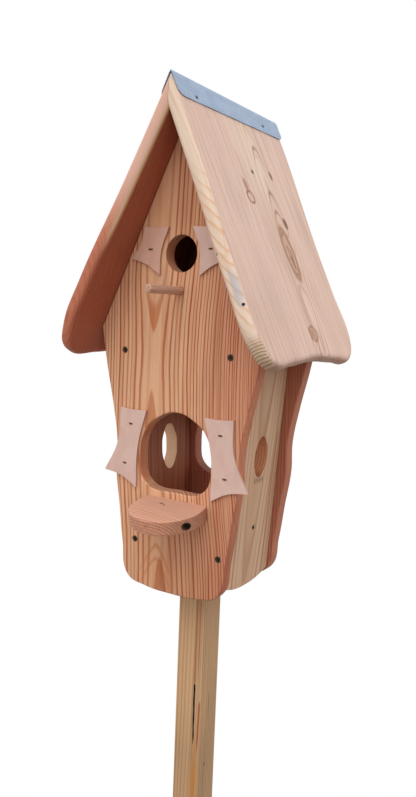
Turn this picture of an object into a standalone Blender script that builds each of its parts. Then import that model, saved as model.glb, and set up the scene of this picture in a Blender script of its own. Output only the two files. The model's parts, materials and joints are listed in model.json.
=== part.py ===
"""Two-storey wooden bird house on a square pole: a nest box above an open bird feeder.

Metres, +Z up. The object's origin is the centre of the pole's foot. The house's own pieces
are placed from a datum at the centre of the entrance hole on the front board's outer face:
+X is to the right of someone facing the front, +Y runs into the house, +Z is up.
"""
import math

import bmesh
import bpy
from mathutils import Matrix, Vector

# Stock
BOARD = 0.018
SHEET = 0.0008
PLATE = 0.003
POLE_SIDE = 0.040
DOWEL_RADIUS = 0.005
GAP = 0.0003

# House
ENTRANCE_HEIGHT = 1.300
ENTRANCE_RADIUS = 0.0218
HOUSE_DEPTH = 0.146
INNER_DEPTH = HOUSE_DEPTH - 2 * BOARD
MID_DEPTH = HOUSE_DEPTH / 2
SIDE_FACE = 0.0927
SIDE_LEAN = math.atan(0.063)
SIDE_FOOT = -0.4095

# Roof
ROOF_HALF_ANGLE = math.radians(25.5)
GABLE_TOP = 0.1555
RIDGE_TOP = GABLE_TOP + BOARD / math.sin(ROOF_HALF_ANGLE)
ROOF_ROUNDING = 0.007
CAP_FLAP_FRONT = 0.033
CAP_FLAP_REAR = 0.0295
APEX_TRIM = 0.003
CAP_CORNER = 0.009

# Floors and pole
NEST_FLOOR_TOP = -0.130
FEEDER_FLOOR_TOP = -0.326
FLOOR_MIDDLE = FEEDER_FLOOR_TOP - BOARD / 2
POLE_TOP = FEEDER_FLOOR_TOP - BOARD - GAP
CLEAT_HEIGHT = 0.045

# Landing board and perch
LANDING_TOP = -0.2958
LANDING_RADIUS = 0.046
LANDING_REACH = 0.021
LANDING_SHIFT = 0.0055
LANDING_TILT = math.atan(0.16)
PERCH_DROP = 0.0435
PERCH_OUT = 0.065
PERCH_IN = 0.014

# Screws
SHANK_RADIUS = 0.00175
HEAD_RADIUS = 0.0034
HEAD_HEIGHT = 0.0025
SCREW_SINK = 0.0012
SCREW_LENGTH = 0.038
LANDING_SCREW_X = 0.0377

SMOOTH = "AUTO"
CORNER = "VECTOR"


def clear_scene():
    for obj in list(bpy.data.objects):
        bpy.data.objects.remove(obj, do_unlink=True)


def new_collection(name):
    found = bpy.data.collections.new(name)
    bpy.context.scene.collection.children.link(found)
    return found


def make_material(name, colour, roughness, metallic=0.0):
    found = bpy.data.materials.new(name)
    found.use_nodes = True
    shader = found.node_tree.nodes["Principled BSDF"]
    shader.inputs["Base Color"].default_value = (*colour, 1.0)
    shader.inputs["Roughness"].default_value = roughness
    shader.inputs["Metallic"].default_value = metallic
    found.diffuse_color = (*colour, 1.0)
    return found


clear_scene()
PARTS = new_collection("bird_feeder_on_pole")
CUTTERS = new_collection("cutters")
DATUM = bpy.data.objects.new("house_datum", None)
DATUM.location = (0, -MID_DEPTH, ENTRANCE_HEIGHT)
PARTS.objects.link(DATUM)

HEARTWOOD = make_material("heartwood", (0.62, 0.33, 0.17), 0.6)
SAPWOOD = make_material("sapwood", (0.66, 0.50, 0.31), 0.6)
POLE_WOOD = make_material("pole_wood", (0.50, 0.33, 0.17), 0.7)
PLYWOOD = make_material("plate_wood", (0.70, 0.53, 0.46), 0.75)
ZINC = make_material("zinc", (0.33, 0.37, 0.42), 0.45, 0.8)
BRASS = make_material("brass", (0.55, 0.40, 0.20), 0.4, 1.0)
STEEL = make_material("screw_steel", (0.12, 0.12, 0.11), 0.5, 0.8)


def place(obj, material, frame=None, home=PARTS):
    """Puts an object in the house's frame, on the given local matrix."""
    home.objects.link(obj)
    obj.parent = DATUM
    obj.matrix_local = frame or Matrix()
    obj.data.materials.append(material)
    return obj


def as_cutter(obj):
    obj.hide_render = True
    obj.display_type = "WIRE"
    return obj


def axes_frame(origin, x_axis, y_axis):
    """A matrix whose local X and Y run along two square directions."""
    x_axis = Vector(x_axis).normalized()
    y_axis = Vector(y_axis).normalized()
    turn = Matrix((x_axis, y_axis, x_axis.cross(y_axis))).transposed()
    return Matrix.Translation(origin) @ turn.to_4x4()


def mirrored(half):
    """A closed outline from its right half, listed from the top to the bottom, both on x = 0."""
    left = [(-x, y, kind) for x, y, kind in reversed(half) if x > 0]
    return half + left


def shape_mesh(name, outlines, thickness, rounding=0.0, rounds=0, resolution=5):
    """A flat board as a mesh: 2D curves filled between z = -thickness and z = 0.

    Its arrises are chamfered by rounding, or rounded in more steps where rounds is over 0.
    """
    curve = bpy.data.curves.new(name, "CURVE")
    curve.dimensions = "2D"
    curve.fill_mode = "BOTH"
    curve.extrude = thickness / 2 - rounding
    curve.bevel_depth = rounding
    curve.bevel_resolution = rounds
    curve.offset = -rounding
    curve.resolution_u = resolution
    for outline in outlines:
        spline = curve.splines.new("BEZIER")
        spline.bezier_points.add(len(outline) - 1)
        spline.use_cyclic_u = True
        for point, (x, y, kind) in zip(spline.bezier_points, outline):
            point.co = (x, y, 0)
            point.handle_left_type = kind
            point.handle_right_type = kind
    guide = bpy.data.objects.new(name + "_guide", curve)
    CUTTERS.objects.link(guide)
    bpy.context.view_layer.update()
    graph = bpy.context.evaluated_depsgraph_get()
    mesh = bpy.data.meshes.new_from_object(guide.evaluated_get(graph))
    bpy.data.objects.remove(guide)
    bpy.data.curves.remove(curve)
    work = bmesh.new()
    work.from_mesh(mesh)
    bmesh.ops.remove_doubles(work, verts=work.verts, dist=0.00001)
    bmesh.ops.translate(work, verts=work.verts, vec=(0, 0, -thickness / 2))
    bmesh.ops.recalc_face_normals(work, faces=work.faces)
    work.to_mesh(mesh)
    work.free()
    mesh.name = name
    mesh.materials.clear()
    return mesh


def board(name, outlines, thickness, material, frame, rounding=0.0, rounds=0):
    mesh = shape_mesh(name, outlines, thickness, rounding, rounds)
    return place(bpy.data.objects.new(name, mesh), material, frame)


def box(name, low, high, material, frame=None, home=PARTS, bevel=0.0):
    """A box between two corners of the given frame."""
    work = bmesh.new()
    bmesh.ops.create_cube(work, size=1)
    size = Vector(high) - Vector(low)
    middle = (Vector(high) + Vector(low)) / 2
    bmesh.ops.scale(work, verts=work.verts, vec=size)
    bmesh.ops.translate(work, verts=work.verts, vec=middle)
    mesh = bpy.data.meshes.new(name)
    work.to_mesh(mesh)
    work.free()
    obj = place(bpy.data.objects.new(name, mesh), material, frame, home)
    if bevel:
        rounding = obj.modifiers.new("arris", "BEVEL")
        rounding.width = bevel
        rounding.segments = 2
    return obj


def turned(name, profile, material, frame, home=PARTS, sides=12):
    """A turned piece about local Z. The profile runs down its outer side, from axis to axis."""
    mesh = bpy.data.meshes.new(name)
    points = [(radius, 0, height) for radius, height in profile]
    edges = [(i, i + 1) for i in range(len(points) - 1)]
    mesh.from_pydata(points, edges, [])
    obj = place(bpy.data.objects.new(name, mesh), material, frame, home)
    turn = obj.modifiers.new("turn", "SCREW")
    turn.steps = sides
    turn.render_steps = sides
    turn.use_merge_vertices = True
    turn.merge_threshold = 0.00001
    return obj


def cut(piece, cutter):
    """Takes the cutter's shape out of a piece."""
    boolean = piece.modifiers.new("cut_" + cutter.name, "BOOLEAN")
    boolean.operation = "DIFFERENCE"
    boolean.object = cutter


def drive_frame(start, direction):
    """A frame whose +Z looks back out of the hole, for a fastener driven along direction."""
    out = -Vector(direction).normalized()
    turn = out.to_track_quat("Z", "Y").to_matrix().to_4x4()
    return Matrix.Translation(start) @ turn


def screw(name, start, direction, pieces, length=SCREW_LENGTH, sink=SCREW_SINK, bore=None):
    """A countersunk screw. start is where its hole leaves the wood, sink how deep its head lies."""
    frame = drive_frame(start, direction)
    tip = -sink - length
    profile = [
        (0, -sink),
        (HEAD_RADIUS, -sink),
        (HEAD_RADIUS, -sink - 0.0005),
        (SHANK_RADIUS, -sink - HEAD_HEIGHT),
        (SHANK_RADIUS, tip + 0.004),
        (0, tip),
    ]
    body = turned(name, profile, STEEL, frame)
    wide = HEAD_RADIUS + GAP
    slim = SHANK_RADIUS + GAP
    hole = [
        (0, bore or 0.004),
        (wide, bore or 0.004),
        (wide, -sink - 0.0005 - GAP),
        (slim, -sink - HEAD_HEIGHT - GAP),
        (slim, tip - GAP),
        (0, tip - GAP),
    ]
    cutter = as_cutter(turned(name + "_hole", hole, STEEL, frame, CUTTERS))
    for piece in pieces:
        cut(piece, cutter)
    return body


def nail(name, start, direction, pieces, length, head_radius=0.0022, shank_radius=0.0009):
    """A round-headed nail whose head stands on the surface."""
    frame = drive_frame(start, direction)
    lift = GAP
    profile = [
        (0, lift + 0.0011),
        (head_radius * 0.6, lift + 0.0009),
        (head_radius, lift + 0.0003),
        (head_radius, lift),
        (shank_radius, lift),
        (shank_radius, -length + 0.002),
        (0, -length),
    ]
    body = turned(name, profile, STEEL, frame)
    slim = shank_radius + GAP
    hole = [(0, 0.004), (slim, 0.004), (slim, -length - GAP), (0, -length - GAP)]
    cutter = as_cutter(turned(name + "_hole", hole, STEEL, frame, CUTTERS, sides=8))
    for piece in pieces:
        cut(piece, cutter)
    return body


def roof_line(height, drop=0.0):
    """Half the width under the roof boards at a height above the entrance."""
    return (GABLE_TOP - drop - height) * math.tan(ROOF_HALF_ANGLE)


# Front and back boards -------------------------------------------------------------------

EAVES_LEVEL = -0.090
WAVY_EDGE = [
    (0.1085, -0.136, SMOOTH),
    (0.0968, -0.187, SMOOTH),
    (0.0890, -0.233, SMOOTH),
    (0.0893, -0.270, SMOOTH),
    (0.0825, -0.318, SMOOTH),
    (0.0765, -0.362, SMOOTH),
]
ROUND_FOOT = [(0.0665, -0.405, SMOOTH), (0.0400, -0.4135, SMOOTH), (0, -0.4157, SMOOTH)]
OPENING_HALF = [
    (0, -0.1893, SMOOTH),
    (0.0260, -0.1975, SMOOTH),
    (0.0445, -0.2145, SMOOTH),
    (0.0515, -0.2480, SMOOTH),
    (0.0430, -0.2795, SMOOTH),
    (0, -0.2868, SMOOTH),
]


def gable_outline():
    """The board's outline: a gable under the roof, wavy tapering sides and a rounded foot."""
    drop = GAP / math.sin(ROOF_HALF_ANGLE)
    shoulder = (roof_line(EAVES_LEVEL, drop), EAVES_LEVEL, CORNER)
    return mirrored([(0, GABLE_TOP - drop, CORNER), shoulder] + WAVY_EDGE + ROUND_FOOT)


def upright_frame(face_depth):
    """Local X right, local Y up and local Z towards the front, with z = 0 on a face."""
    return axes_frame((0, face_depth, 0), (1, 0, 0), (0, 0, 1))


def make_gable_boards():
    feeder_opening = mirrored(OPENING_HALF)
    front = board(
        "front_board",
        [gable_outline(), feeder_opening[::-1]],
        BOARD,
        HEARTWOOD,
        upright_frame(0),
        rounding=0.0015,
    )
    back = board(
        "back_board",
        [gable_outline(), feeder_opening[::-1]],
        BOARD,
        HEARTWOOD,
        upright_frame(HOUSE_DEPTH - BOARD),
        rounding=0.0015,
    )
    drill = [(0, 0.01), (ENTRANCE_RADIUS, 0.01), (ENTRANCE_RADIUS, -0.03), (0, -0.03)]
    frame = drive_frame((0, 0, 0), (0, 1, 0))
    cut(front, as_cutter(turned("entrance_drill", drill, STEEL, frame, CUTTERS, sides=48)))
    return front, back


# Side boards -----------------------------------------------------------------------------

SLOTS = {
    -1: {"middle": (0.0765, -0.2480), "half": (0.0170, 0.0300)},
    1: {"middle": (0.0785, -0.2440), "half": (0.0162, 0.0258)},
}


def slot_outline(side):
    """The long window of a side board, in its frame: a hand-cut oval."""
    depth, height = SLOTS[side]["middle"]
    wide, tall = SLOTS[side]["half"]
    half = [
        (0, tall, SMOOTH),
        (wide * 0.83, tall * 0.54, SMOOTH),
        (wide, 0, SMOOTH),
        (wide * 0.83, -tall * 0.54, SMOOTH),
        (0, -tall, SMOOTH),
    ]
    across = side * (depth - MID_DEPTH)
    up = height / math.cos(SIDE_LEAN)
    return [(x + across, y + up, corner) for x, y, corner in mirrored(half)]


def side_frame(side):
    """Local X along the depth, local Y up the leaning board, z = 0 on its outer face."""
    up = (side * math.sin(SIDE_LEAN), 0, math.cos(SIDE_LEAN))
    return axes_frame((side * SIDE_FACE, MID_DEPTH, 0), (0, side, 0), up)


def make_side_board(name, side):
    half = INNER_DEPTH / 2 - GAP
    stretch = 1 / math.cos(SIDE_LEAN)
    foot = SIDE_FOOT * stretch
    corner_rise = 0.009
    outline = [
        (-half, 0.02, CORNER),
        (-half, foot + corner_rise, CORNER),
        (-half * 0.6, foot + corner_rise * 0.3, SMOOTH),
        (0, foot, SMOOTH),
        (half * 0.6, foot + corner_rise * 0.3, SMOOTH),
        (half, foot + corner_rise, CORNER),
        (half, 0.02, CORNER),
    ]
    frame = side_frame(side)
    piece = board(name, [outline, slot_outline(side)[::-1]], BOARD, SAPWOOD, frame)
    under_roof = box(
        name + "_top_cut",
        (-0.1, -0.5, -BOARD - GAP),
        (0.1, 0.2, 0.05),
        STEEL,
        roof_frame(side),
        CUTTERS,
    )
    cut(piece, as_cutter(under_roof))
    return piece


# Roof ------------------------------------------------------------------------------------

ROOF_FRONT = -0.036
ROOF_BACK = 0.221
FRONT_CORNER = {
    -1: [(ROOF_FRONT - 0.0195, -0.315, SMOOTH), (ROOF_FRONT - 0.0020, -0.3465, SMOOTH)],
    1: [(ROOF_FRONT - 0.0215, -0.324, SMOOTH), (ROOF_FRONT - 0.0060, -0.3485, SMOOTH)],
}
ROOF_EDGE = [
    (ROOF_FRONT, 0.030, CORNER),
    (ROOF_FRONT - 0.0005, 0, SMOOTH),
    (ROOF_FRONT - 0.0085, -0.125, SMOOTH),
    (ROOF_FRONT - 0.0210, -0.255, SMOOTH),
    (0.012, -0.3505, SMOOTH),
    (0.075, -0.3465, SMOOTH),
    (0.135, -0.3500, SMOOTH),
    (0.1745, -0.3515, SMOOTH),
    (0.2010, -0.3265, SMOOTH),
    (0.2030, -0.255, SMOOTH),
    (0.2065, -0.180, SMOOTH),
    (ROOF_BACK, -0.060, SMOOTH),
    (ROOF_BACK + 0.0015, 0, SMOOTH),
    (ROOF_BACK + 0.0015, 0.030, CORNER),
]


def roof_frame(side):
    """Local X along the ridge, local Y up the slope with y = 0 on the ridge line, z = 0 outside."""
    up = (-side * math.sin(ROOF_HALF_ANGLE), 0, math.cos(ROOF_HALF_ANGLE))
    return axes_frame((0, MID_DEPTH, RIDGE_TOP), (0, side, 0), up)


def make_roof_board(name, side):
    edge = ROOF_EDGE[:4] + FRONT_CORNER[side] + ROOF_EDGE[4:]
    outline = [(side * (depth - MID_DEPTH), up, kind) for depth, up, kind in edge]
    if side < 0:
        outline.reverse()
    piece = board(name, [outline], BOARD, HEARTWOOD, roof_frame(side), ROOF_ROUNDING, 2)
    reach = (-side * 0.2, side * GAP / 2)
    mitre = box(
        name + "_mitre",
        (min(reach), -0.2, -0.1),
        (max(reach), 0.4, 0.3),
        STEEL,
        home=CUTTERS,
    )
    cut(piece, as_cutter(mitre))
    apex = box(
        name + "_apex_trim",
        (-0.02, -0.1, RIDGE_TOP - APEX_TRIM),
        (0.02, 0.3, RIDGE_TOP + 0.05),
        STEEL,
        home=CUTTERS,
    )
    cut(piece, as_cutter(apex))
    return piece


def cap_point(share, along):
    """A point of the folded sheet, from its shares of the flap's width and of the ridge's length."""
    flap = CAP_FLAP_FRONT + (CAP_FLAP_REAR - CAP_FLAP_FRONT) * along
    reach = abs(share) * flap
    over = max(0.0, reach - (flap - CAP_CORNER))
    inset = CAP_CORNER - math.sqrt(max(0.0, CAP_CORNER**2 - over**2))
    front = ROOF_FRONT + 0.002 + inset
    back = ROOF_BACK + 0.003 - inset
    fold = 0.004
    bent = min(reach, fold)
    rise = fold * 0.4 * (1 - (bent / fold) ** 2)
    x = math.copysign(reach * math.sin(ROOF_HALF_ANGLE), share)
    z = -reach * math.cos(ROOF_HALF_ANGLE) - rise
    lift = (GAP + SHEET) / math.sin(ROOF_HALF_ANGLE)
    return Vector((x, front + (back - front) * along, RIDGE_TOP + lift + z))


def make_ridge_cap():
    """Sheet zinc folded over the ridge: the outer surface, thickened inwards."""
    columns = [-1, -0.985, -0.93, -0.85, -0.77, -0.68, -0.4, -0.09, -0.045, 0]
    columns += [-share for share in reversed(columns[:-1])]
    rows = 9
    work = bmesh.new()
    bmesh.ops.create_grid(work, x_segments=len(columns) - 1, y_segments=rows - 1, size=1)
    xs = sorted({round(vert.co.x, 6) for vert in work.verts})
    for vert in work.verts:
        share = columns[xs.index(round(vert.co.x, 6))]
        vert.co = cap_point(share, (vert.co.y + 1) / 2)
    bmesh.ops.recalc_face_normals(work, faces=work.faces)
    mesh = bpy.data.meshes.new("ridge_cap")
    work.to_mesh(mesh)
    work.free()
    cap = place(bpy.data.objects.new("ridge_cap", mesh), ZINC)
    shell = cap.modifiers.new("sheet", "SOLIDIFY")
    shell.thickness = SHEET
    shell.offset = -1
    return cap


# Floors, pole and cleats -----------------------------------------------------------------


def inner_half_width(height):
    thick = BOARD / math.cos(SIDE_LEAN)
    return SIDE_FACE + math.tan(SIDE_LEAN) * height - thick


def make_floor(name, top, material):
    half = inner_half_width(top - BOARD) - GAP
    return box(
        name,
        (-half, BOARD + GAP, top - BOARD),
        (half, HOUSE_DEPTH - BOARD - GAP, top),
        material,
    )


def make_pole():
    half = POLE_SIDE / 2
    return box(
        "pole",
        (-half, MID_DEPTH - half, -ENTRANCE_HEIGHT),
        (half, MID_DEPTH + half, POLE_TOP),
        POLE_WOOD,
        bevel=0.0015,
    )


def make_cleat(name, side, pole, floor):
    """A block under the feeder floor that grips one side of the pole."""
    near = POLE_SIDE / 2 + GAP
    far = near + BOARD
    low = (min(side * near, side * far), MID_DEPTH - POLE_SIDE / 2, POLE_TOP - CLEAT_HEIGHT)
    high = (max(side * near, side * far), MID_DEPTH + POLE_SIDE / 2, POLE_TOP)
    cleat = box(name, low, high, POLE_WOOD, bevel=0.001)
    cross_height = POLE_TOP - 0.030
    start = (side * far, MID_DEPTH + side * 0.007, cross_height)
    screw(name + "_cross_screw", start, (-side, 0, 0), [cleat, pole], length=0.032)
    foot = (side * (near + BOARD / 2), MID_DEPTH, FEEDER_FLOOR_TOP)
    screw(name + "_floor_screw", foot, (0, 0, -1), [floor, cleat], length=0.034)
    return cleat


# Landing board and perch -----------------------------------------------------------------


def make_landing(front):
    """A round-fronted board sloping away from the front board, cut off against it."""
    reach = math.acos(LANDING_REACH / LANDING_RADIUS)
    count = 8
    outline = []
    for step in range(count + 1):
        angle = reach + (2 * math.pi - 2 * reach) * step / count
        x = LANDING_SHIFT + LANDING_RADIUS * math.sin(angle)
        y = LANDING_RADIUS * math.cos(angle) - LANDING_REACH
        outline.append((x, y, SMOOTH if 0 < step < count else CORNER))
    outline[0] = (outline[0][0], 0.01, CORNER)
    outline[-1] = (outline[-1][0], 0.01, CORNER)
    away = (0, math.cos(LANDING_TILT), math.sin(LANDING_TILT))
    frame = axes_frame((0, 0, LANDING_TOP), (1, 0, 0), away)
    landing = board("landing_board", [outline[::-1]], BOARD, HEARTWOOD, frame, 0.0015)
    trim = box("landing_trim", (-0.1, -GAP, -0.4), (0.1, 0.1, -0.2), STEEL, home=CUTTERS)
    cut(landing, as_cutter(trim))
    for name, side in (("left", -1), ("right", 1)):
        height = LANDING_TOP - 0.0162
        start = (LANDING_SHIFT + side * LANDING_SCREW_X, -0.032, height)
        screw(
            "landing_screw_" + name,
            start,
            (side * -0.35, 0.93, 0),
            [landing, front],
            length=0.046,
            bore=0.03,
        )
    return landing


def make_perch(front):
    """A dowel glued into a blind hole under the entrance."""
    radius = DOWEL_RADIUS
    frame = drive_frame((0, 0, -PERCH_DROP), (0, 1, 0))
    profile = [
        (0, PERCH_OUT),
        (radius - 0.001, PERCH_OUT),
        (radius, PERCH_OUT - 0.001),
        (radius, -PERCH_IN),
        (0, -PERCH_IN),
    ]
    perch = turned("perch_dowel", profile, PLYWOOD, frame, sides=20)
    wide = radius + GAP
    hole = [(0, 0.005), (wide, 0.005), (wide, -PERCH_IN - GAP), (0, -PERCH_IN - GAP)]
    cut(front, as_cutter(turned("perch_hole", hole, STEEL, frame, CUTTERS, sides=20)))
    return perch


# Shutters and staples --------------------------------------------------------------------

FEEDER_SHUTTER = {
    "corners": [(0.0420, -0.1900), (0.0815, -0.1893), (0.1045, -0.2720), (0.0547, -0.2885)],
    "bows": [0.0012, 0.0085, 0.0040, 0.0055],
    "staples": [(0.0650, -0.2085), (0.0730, -0.2590)],
}
NEST_SHUTTER = {
    "corners": [(0.0168, 0.0312), (0.0522, 0.0325), (0.0700, -0.0060), (0.0283, -0.0255)],
    "bows": [0.0015, 0.0040, 0.0030, 0.0045],
    "staples": [(0.0422, 0.0055)],
}
STAPLE_HALF = 0.0024
STAPLE_WIRE = 0.0009
STAPLE_LEG = 0.008


def shutter_outline(corners, bows, side):
    """A four-cornered plate whose edges curve inwards between the corners."""
    outline = []
    for index, corner in enumerate(corners):
        following = corners[(index + 1) % len(corners)]
        edge = Vector(following) - Vector(corner)
        inward = Vector((edge.y, -edge.x)).normalized()
        middle = (Vector(corner) + Vector(following)) / 2 + inward * bows[index]
        outline.append((side * corner[0], corner[1], CORNER))
        outline.append((side * middle.x, middle.y, SMOOTH))
    return outline if side < 0 else outline[::-1]


def make_shutter(name, shape, side, front):
    outline = shutter_outline(shape["corners"], shape["bows"], side)
    frame = upright_frame(-PLATE - GAP)
    plate = board(name, [outline], PLATE, PLYWOOD, frame)
    for number, (x, height) in enumerate(shape["staples"], 1):
        make_staple(f"{name}_staple_{number}", side * x, height, plate, front)
    return plate


def make_staple(name, x, height, plate, front):
    """A wire staple whose crown lies on the plate and whose legs reach into the front board."""
    face = -PLATE - 2 * GAP
    curve = bpy.data.curves.new(name, "CURVE")
    curve.dimensions = "3D"
    curve.bevel_depth = STAPLE_WIRE / 2
    curve.bevel_resolution = 1
    curve.use_fill_caps = True
    spline = curve.splines.new("POLY")
    bend = STAPLE_WIRE
    path = [
        (-STAPLE_HALF, face + STAPLE_LEG),
        (-STAPLE_HALF, face + bend),
        (-STAPLE_HALF + bend * 0.4, face + bend * 0.1),
        (0, face - 0.0001),
        (STAPLE_HALF - bend * 0.4, face + bend * 0.1),
        (STAPLE_HALF, face + bend),
        (STAPLE_HALF, face + STAPLE_LEG),
    ]
    spline.points.add(len(path) - 1)
    for point, (along, depth) in zip(spline.points, path):
        point.co = (along, depth, 0, 1)
    place(bpy.data.objects.new(name, curve), BRASS, Matrix.Translation((x, 0, height)))
    reach = STAPLE_HALF + STAPLE_WIRE / 2 + GAP
    thick = STAPLE_WIRE / 2 + GAP
    slot = box(
        name + "_slot",
        (x - reach, -0.01, height - thick),
        (x + reach, face + STAPLE_LEG + GAP, height + thick),
        STEEL,
        home=CUTTERS,
    )
    as_cutter(slot)
    cut(plate, slot)
    cut(front, slot)


# Assembly --------------------------------------------------------------------------------

GABLE_SCREWS = {
    "upper": {-1: (0.0798, -0.118), 1: (0.0722, -0.118)},
    "lower": {-1: (0.0562, -0.356), 1: (0.0662, -0.358)},
}
CAP_NAIL_LENGTH = 0.0085
CAP_NAILS = {"front": (0.004, 0.0235), "rear": (0.171, 0.0180)}


def make_house():
    front, back = make_gable_boards()
    sides = {}
    roofs = {}
    cap = make_ridge_cap()
    for name, side in (("left", -1), ("right", 1)):
        sides[name] = make_side_board("side_board_" + name, side)
        roofs[name] = make_roof_board("roof_board_" + name, side)
        for level, places in GABLE_SCREWS.items():
            x, height = places[side]
            for face, depth, inward, wall in (
                ("front", 0, 1, front),
                ("back", HOUSE_DEPTH, -1, back),
            ):
                screw(
                    f"{face}_screw_{level}_{name}",
                    (side * x, depth, height),
                    (0, inward, 0),
                    [wall, sides[name]],
                )
        frame = roof_frame(side)
        inward = frame.to_3x3() @ Vector((0, 0, -1))
        for place_name, (depth, drop) in CAP_NAILS.items():
            local = Vector((side * (depth - MID_DEPTH), -drop, GAP + SHEET))
            nail(
                f"cap_nail_{place_name}_{name}",
                frame @ local,
                inward,
                [cap, roofs[name]],
                length=CAP_NAIL_LENGTH,
            )
        make_shutter("feeder_shutter_" + name, FEEDER_SHUTTER, side, front)
        make_shutter("nest_shutter_" + name, NEST_SHUTTER, side, front)
    make_perch(front)
    make_landing(front)
    return front, back, sides


def make_inside(back, sides):
    nest_floor = make_floor("nest_floor", NEST_FLOOR_TOP, HEARTWOOD)
    feeder_floor = make_floor("feeder_floor", FEEDER_FLOOR_TOP, HEARTWOOD)
    pole = make_pole()
    for name, side in (("left", -1), ("right", 1)):
        frame = side_frame(side)
        inward = frame.to_3x3() @ Vector((0, 0, -1))
        start = frame @ Vector((side * 0.004, FLOOR_MIDDLE / math.cos(SIDE_LEAN), 0))
        nail("floor_nail_" + name, start, inward, [sides[name], feeder_floor], length=0.034)
        make_cleat("pole_cleat_" + name, side, pole, feeder_floor)
        start = (side * 0.035, HOUSE_DEPTH, NEST_FLOOR_TOP - BOARD / 2)
        screw("nest_floor_screw_" + name, start, (0, -1, 0), [back, nest_floor])


front_board, back_board, side_boards = make_house()
make_inside(back_board, side_boards)
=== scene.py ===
import json
from math import acos, atan, copysign, cos, exp, hypot, pi, radians, sin, sqrt, tan, tau

import bmesh
import bpy
from mathutils import Matrix, Vector

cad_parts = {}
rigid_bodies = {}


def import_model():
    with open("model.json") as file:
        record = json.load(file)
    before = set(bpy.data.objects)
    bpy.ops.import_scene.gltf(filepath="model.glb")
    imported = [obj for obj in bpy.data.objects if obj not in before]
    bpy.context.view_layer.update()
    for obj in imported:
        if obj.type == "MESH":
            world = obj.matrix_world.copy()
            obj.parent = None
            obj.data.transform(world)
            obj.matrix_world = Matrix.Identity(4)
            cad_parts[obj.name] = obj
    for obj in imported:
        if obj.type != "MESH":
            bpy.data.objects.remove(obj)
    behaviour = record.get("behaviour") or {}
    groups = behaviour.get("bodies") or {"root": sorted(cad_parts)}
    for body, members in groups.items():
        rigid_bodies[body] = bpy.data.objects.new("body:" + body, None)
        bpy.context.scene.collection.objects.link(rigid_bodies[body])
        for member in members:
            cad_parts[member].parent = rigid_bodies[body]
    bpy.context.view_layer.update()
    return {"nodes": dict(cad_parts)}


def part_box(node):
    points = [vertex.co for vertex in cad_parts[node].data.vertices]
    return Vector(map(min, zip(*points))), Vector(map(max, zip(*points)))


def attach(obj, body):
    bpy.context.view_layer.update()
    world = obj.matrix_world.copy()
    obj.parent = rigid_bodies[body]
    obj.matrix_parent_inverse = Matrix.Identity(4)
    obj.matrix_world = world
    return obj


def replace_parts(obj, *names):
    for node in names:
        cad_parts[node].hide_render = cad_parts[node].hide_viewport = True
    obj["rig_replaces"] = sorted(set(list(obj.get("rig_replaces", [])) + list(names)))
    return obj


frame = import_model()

# Sizes that follow the frame's own dimensions
BOARD = 0.018
SHEET = 0.0008
PLATE = 0.003
GAP = 0.0003
HOUSE_DEPTH = 0.146
INNER_DEPTH = HOUSE_DEPTH - 2 * BOARD
MID_DEPTH = HOUSE_DEPTH / 2
ENTRANCE_HEIGHT = 1.3
ENTRANCE_RADIUS = 0.0218
SIDE_FACE = 0.0927
SIDE_LEAN = atan(0.063)
SIDE_FOOT = -0.4095
ROOF_LEAN = radians(25.5)
GABLE_TOP = 0.1555
RIDGE_TOP = GABLE_TOP + BOARD / sin(ROOF_LEAN)
ROOF_FRONT = -0.036
ROOF_BACK = 0.221
ROOF_ROUNDING = 0.007
CAP_FLAP_FRONT = 0.033
CAP_FLAP_REAR = 0.0295
APEX_TRIM = 0.003
CAP_CORNER = 0.009
LANDING_TOP = -0.2958
LANDING_RADIUS = 0.046
LANDING_REACH = 0.021
LANDING_SHIFT = 0.0055
LANDING_TILT = atan(0.16)
LANDING_SCREW_X = 0.0377
PERCH_DROP = 0.0435
PERCH_OUT = 0.065
PERCH_IN = 0.014
DOWEL_RADIUS = 0.005
SHANK_RADIUS = 0.00175
HEAD_RADIUS = 0.0034
HEAD_HEIGHT = 0.0025
SCREW_SINK = 0.0012
GABLE_SCREWS = {
    "upper": {-1: (0.0798, -0.118), 1: (0.0722, -0.118)},
    "lower": {-1: (0.0562, -0.356), 1: (0.0662, -0.358)},
}
FLOOR_MIDDLE = -0.335
# Each side slot's middle, as depth and height, and its half-width and half-height
SLOTS = {-1: (0.0765, -0.248, 0.017, 0.03), 1: (0.0785, -0.244, 0.0162, 0.0258)}
CAP_NAILS = {"front": (0.004, 0.0235), "rear": (0.171, 0.018)}
SIDES = (("left", -1), ("right", 1))
LANDING_SCREWS = [
    ((LANDING_SHIFT + side * LANDING_SCREW_X, -0.032, LANDING_TOP - 0.0162), (side * -0.35, 0.93, 0))
    for name, side in SIDES
]

HOUSE = Matrix.Translation((0, -MID_DEPTH, ENTRANCE_HEIGHT))
UP = (0, 0, 1)
RIGHT = (1, 0, 0)
INTO = (0, 1, 0)
TIMBER_ROUGHNESS = 0.62
SMOOTH = "AUTO"
CORNER = "VECTOR"
WORKSHOP = bpy.data.collections.new("cutters")
bpy.context.scene.collection.children.link(WORKSHOP)


# Node arithmetic


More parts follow.
